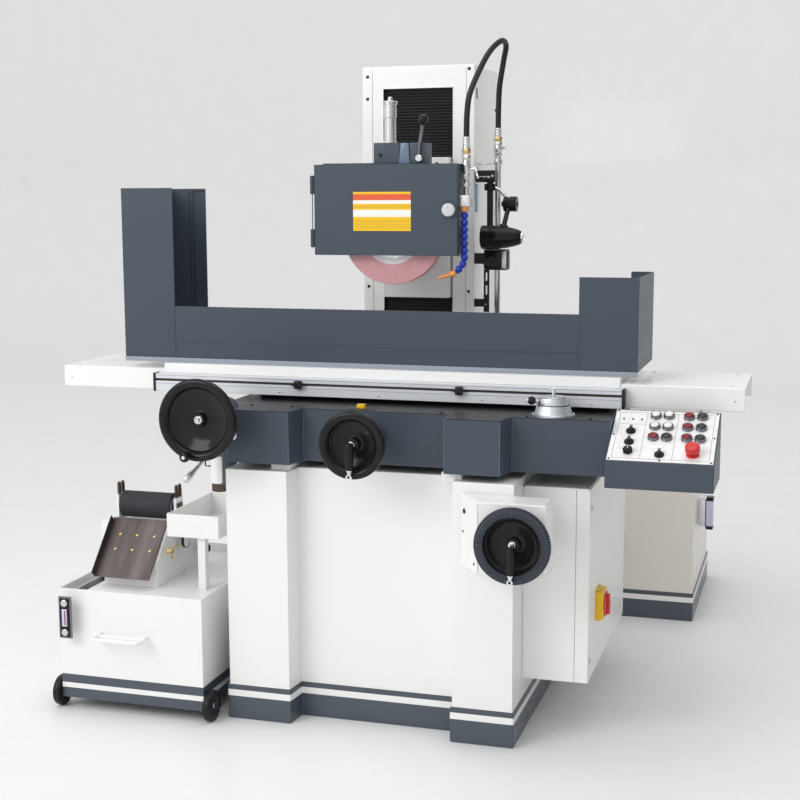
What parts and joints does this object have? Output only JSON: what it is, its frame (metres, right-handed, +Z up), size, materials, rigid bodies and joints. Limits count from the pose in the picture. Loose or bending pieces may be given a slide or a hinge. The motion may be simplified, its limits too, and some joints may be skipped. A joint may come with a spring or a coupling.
{
  "type": "surface grinder",
  "caption": "Horizontal-spindle surface grinder: base and column, cross saddle, reciprocating table with splash guard, rising wheel head, control desk, cabinet, hydraulic and coolant units.",
  "frame": {"origin": "on the floor plane, below the middle of the wheel spindle's axis, under the machine base", "axes": "+X to the operator's right along the table travel, +Y away from the operator towards the column and the hydraulic unit, +Z up"},
  "size_m": [2.15, 2.2377, 2.056],
  "materials": {
    "white_paint": "satin white machine enamel",
    "cream_paint": "satin warm white enamel",
    "blue_grey_paint": "satin dark blue grey enamel",
    "black_plastic": "gloss black moulded phenolic",
    "black_matte": "matt black plastic",
    "bellows_cloth": "matt black coated bellows cloth",
    "hose_rubber": "matt black rubber",
    "bright_steel": "machined bright steel",
    "chrome_plate": "chromium plated",
    "rail_aluminium": "anodised aluminium extrusion",
    "cast_grey": "ground cast iron",
    "wheel_abrasive": "pink bonded aluminium oxide grit",
    "hose_blue": "glossy blue modular hose",
    "switch_red": "gloss red moulded plastic",
    "button_white": "gloss white moulded plastic",
    "button_red": "gloss red translucent plastic",
    "knob_grey": "pale grey plastic",
    "chute_paint": "brown grey hammered paint",
    "caster_tyre": "hard black rubber tyre"
  },
  "bodies": {
    "base": {"base_casting": "white_paint", "column_casting": "white_paint", "column_cover": "white_paint", "upper_bellows": "bellows_cloth", "lower_bellows": "bellows_cloth", "hydraulic_tank": "cream_paint", "electric_cabinet": "white_paint", "handwheel_box": "white_paint", "coolant_pipe": "bright_steel", "coolant_hose": "hose_rubber", "lamp_bracket": "black_matte"},
    "saddle": {"saddle_casting": "blue_grey_paint", "saddle_apron": "blue_grey_paint", "speed_valve": "bright_steel", "control_box": "blue_grey_paint"},
    "table": {"table_casting": "white_paint", "magnetic_chuck": "cast_grey", "left_cover": "white_paint", "right_cover": "white_paint", "dog_rail": "rail_aluminium", "splash_guard": "blue_grey_paint"},
    "head": {"spindle_head": "white_paint", "wheel_guard": "blue_grey_paint", "dresser_body": "blue_grey_paint", "spray_assembly": "hose_blue"},
    "wheel_spindle": {"spindle": "bright_steel", "grinding_wheel": "wheel_abrasive"},
    "coolant_unit": {"coolant_tank": "white_paint", "separator_body": "white_paint", "chip_chute": "chute_paint", "drip_tray": "white_paint"},
    "trip_dog_left": {"trip_dog_left": "black_matte"},
    "trip_dog_right": {"trip_dog_right": "black_matte"},
    "table_handwheel": {"table_handwheel": "black_plastic"},
    "crossfeed_handwheel": {"crossfeed_handwheel": "black_plastic"},
    "crossfeed_handle": {"crossfeed_handle": "black_plastic"},
    "elevating_handwheel": {"elevating_handwheel": "black_plastic"},
    "elevating_handle": {"elevating_handle": "black_plastic"},
    "direction_lever": {"direction_lever": "chrome_plate"},
    "speed_lever": {"speed_lever": "chrome_plate"},
    "start_button": {"start_button": "button_white"},
    "stop_button": {"stop_button": "button_red"},
    "feed_button": {"feed_button": "button_red"},
    "mode_selector": {"mode_selector": "black_plastic"},
    "feed_selector": {"feed_selector": "black_plastic"},
    "speed_dial": {"speed_dial": "black_plastic"},
    "pump_selector": {"pump_selector": "black_plastic"},
    "e_stop": {"e_stop": "switch_red"},
    "guard_door": {"guard_door": "blue_grey_paint"},
    "door_knob": {"door_knob": "knob_grey"},
    "dresser_quill": {"dresser_quill": "bright_steel"},
    "dresser_lever": {"dresser_lever": "black_plastic"},
    "spray_nozzle": {"spray_nozzle": "hose_blue"},
    "lamp_arm": {"lamp_arm": "bright_steel"},
    "lamp_head": {"lamp_head": "black_matte"},
    "cabinet_door": {"cabinet_door": "white_paint"},
    "main_switch": {"main_switch": "switch_red"},
    "front_wheels": {"front_wheels": "caster_tyre"},
    "rear_wheels": {"rear_wheels": "caster_tyre"},
    "separator_drum": {"separator_drum": "hose_rubber"}
  },
  "joints": [
    {"name": "table_slide", "type": "slide", "parent": "saddle", "child": "table", "axis": [-1, 0, 0], "range_m": [-0.45, 0.45]},
    {"name": "saddle_slide", "type": "slide", "parent": "base", "child": "saddle", "axis": [0, 1, 0], "range_m": [-0.2, 0.06]},
    {"name": "head_slide", "type": "slide", "parent": "base", "child": "head", "axis": [0, 0, 1], "range_m": [-0.14, 0.15], "deforming": ["upper_bellows", "lower_bellows", "coolant_hose"]},
    {"name": "guard_door_swing", "type": "hinge", "parent": "head", "child": "guard_door", "pos_m": [-0.2465, -0.1345, 1.45], "axis": [0, 0, -1], "range_deg": [0, 110]},
    {"name": "cabinet_door_swing", "type": "hinge", "parent": "base", "child": "cabinet_door", "pos_m": [0.68, 0.33, 0.165], "axis": [0, 0, 1], "range_deg": [0, 110]},
    {"name": "coolant_unit_roll", "type": "slide", "parent": "base", "child": "coolant_unit", "axis": [0, -1, 0], "range_m": [0, 0.6]},
    {"name": "lamp_arm_swing", "type": "hinge", "parent": "base", "child": "lamp_arm", "pos_m": [0.243, 0.2, 1.534], "axis": [0, 0, 1], "range_deg": [-60, 30]},
    {"name": "lamp_head_tilt", "type": "hinge", "parent": "lamp_arm", "child": "lamp_head", "pos_m": [0.311, 0.2, 1.534], "axis": [1, 0, 0], "range_deg": [-35, 5]},
    {"name": "wheel_spin", "type": "hinge", "parent": "head", "child": "wheel_spindle", "pos_m": [0, -0.088, 1.45], "axis": [0, 1, 0], "continuous": true},
    {"name": "separator_drum_spin", "type": "hinge", "parent": "coolant_unit", "child": "separator_drum", "pos_m": [-0.75, -0.3, 0.585], "axis": [1, 0, 0], "continuous": true},
    {"name": "direction_lever_swing", "type": "hinge", "parent": "saddle", "child": "direction_lever", "pos_m": [-0.352, -0.53, 0.868], "axis": [0, 1, 0], "range_deg": [-20, 20]},
    {"name": "speed_lever_turn", "type": "hinge", "parent": "saddle", "child": "speed_lever", "pos_m": [0.566, -0.375, 0.94], "axis": [0, 0, 1], "range_deg": [-30, 30]},
    {"name": "dresser_feed", "type": "slide", "parent": "head", "child": "dresser_quill", "axis": [0, 0, 1], "range_m": [-0.015, 0]},
    {"name": "dresser_lever_swing", "type": "hinge", "parent": "head", "child": "dresser_lever", "pos_m": [0.096, -0.1153, 1.673], "axis": [0, 1, 0], "range_deg": [-30, 30]},
    {"name": "spray_nozzle_tilt", "type": "hinge", "parent": "head", "child": "spray_nozzle", "pos_m": [0.2035, -0.1, 1.327], "axis": [0, 1, 0], "range_deg": [-20, 20]},
    {"name": "door_knob_turn", "type": "hinge", "parent": "guard_door", "child": "door_knob", "pos_m": [0.196, -0.1346, 1.518], "axis": [0, -1, 0], "range_deg": [0, 90]},
    {"name": "main_switch_turn", "type": "hinge", "parent": "cabinet_door", "child": "main_switch", "pos_m": [0.68, -0.235, 0.36], "axis": [1, 0, 0], "range_deg": [0, 90]},
    {"name": "crossfeed_handle_fold", "type": "hinge", "parent": "crossfeed_handwheel", "child": "crossfeed_handle", "pos_m": [0.048, -0.6565, 0.788], "axis": [1, 0, 0], "range_deg": [0, 90]},
    {"name": "elevating_handle_fold", "type": "hinge", "parent": "elevating_handwheel", "child": "elevating_handle", "pos_m": [0.52, -0.7215, 0.541], "axis": [1, 0, 0], "range_deg": [0, 90]},
    {"name": "trip_dog_left_slide", "type": "slide", "parent": "table", "child": "trip_dog_left", "axis": [1, 0, 0], "range_m": [-0.35, 0.2]},
    {"name": "trip_dog_right_slide", "type": "slide", "parent": "table", "child": "trip_dog_right", "axis": [1, 0, 0], "range_m": [-0.2, 0.35]},
    {"name": "start_button_press", "type": "slide", "parent": "saddle", "child": "start_button", "axis": [0, 0.4648, -0.8854], "range_m": [0, 0.004], "stiffness_N_per_m": 600},
    {"name": "stop_button_press", "type": "slide", "parent": "saddle", "child": "stop_button", "axis": [0, 0.4648, -0.8854], "range_m": [0, 0.004], "stiffness_N_per_m": 600},
    {"name": "feed_button_press", "type": "slide", "parent": "saddle", "child": "feed_button", "axis": [0, 0.4648, -0.8854], "range_m": [0, 0.004], "stiffness_N_per_m": 600},
    {"name": "e_stop_press", "type": "slide", "parent": "saddle", "child": "e_stop", "axis": [0, 0.4648, -0.8854], "range_m": [0, 0.005], "stiffness_N_per_m": 600},
    {"name": "mode_selector_turn", "type": "hinge", "parent": "saddle", "child": "mode_selector", "pos_m": [0.794, -0.43136, 0.91229], "axis": [0, -0.4648, 0.8854], "range_deg": [-45, 45]},
    {"name": "feed_selector_turn", "type": "hinge", "parent": "saddle", "child": "feed_selector", "pos_m": [0.795, -0.47474, 0.88951], "axis": [0, -0.4648, 0.8854], "range_deg": [-45, 45]},
    {"name": "speed_dial_turn", "type": "hinge", "parent": "saddle", "child": "speed_dial", "pos_m": [0.797, -0.5137, 0.86906], "axis": [0, -0.4648, 0.8854], "range_deg": [-150, 150]},
    {"name": "pump_selector_turn", "type": "hinge", "parent": "saddle", "child": "pump_selector", "pos_m": [0.882, -0.5199, 0.8658], "axis": [0, -0.4648, 0.8854], "range_deg": [-45, 45]},
    {"name": "table_handwheel_spin", "type": "hinge", "parent": "saddle", "child": "table_handwheel", "pos_m": [-0.41, -0.62, 0.927], "axis": [0, -1, 0], "range_deg": [-2060, 2060]},
    {"name": "crossfeed_handwheel_spin", "type": "hinge", "parent": "saddle", "child": "crossfeed_handwheel", "pos_m": [0.048, -0.6, 0.873], "axis": [0, -1, 0], "range_deg": [-14500, 4500]},
    {"name": "elevating_handwheel_spin", "type": "hinge", "parent": "base", "child": "elevating_handwheel", "pos_m": [0.52, -0.665, 0.634], "axis": [0, -1, 0], "range_deg": [-10200, 10900]},
    {"name": "front_wheels_roll", "type": "hinge", "parent": "coolant_unit", "child": "front_wheels", "pos_m": [-0.675, -0.575, 0.047], "axis": [1, 0, 0], "range_deg": [-10, 740]},
    {"name": "rear_wheels_roll", "type": "hinge", "parent": "coolant_unit", "child": "rear_wheels", "pos_m": [-0.675, 0, 0.047], "axis": [1, 0, 0], "range_deg": [-10, 740]}
  ],
  "couplings": [
    {"joint": "table_handwheel_spin", "follows": "table_slide", "rad_per_m": 78.54},
    {"joint": "crossfeed_handwheel_spin", "follows": "saddle_slide", "rad_per_m": 1256.6},
    {"joint": "elevating_handwheel_spin", "follows": "head_slide", "rad_per_m": 1256.6},
    {"joint": "front_wheels_roll", "follows": "coolant_unit_roll", "rad_per_m": 21.277},
    {"joint": "rear_wheels_roll", "follows": "coolant_unit_roll", "rad_per_m": 21.277}
  ]
}
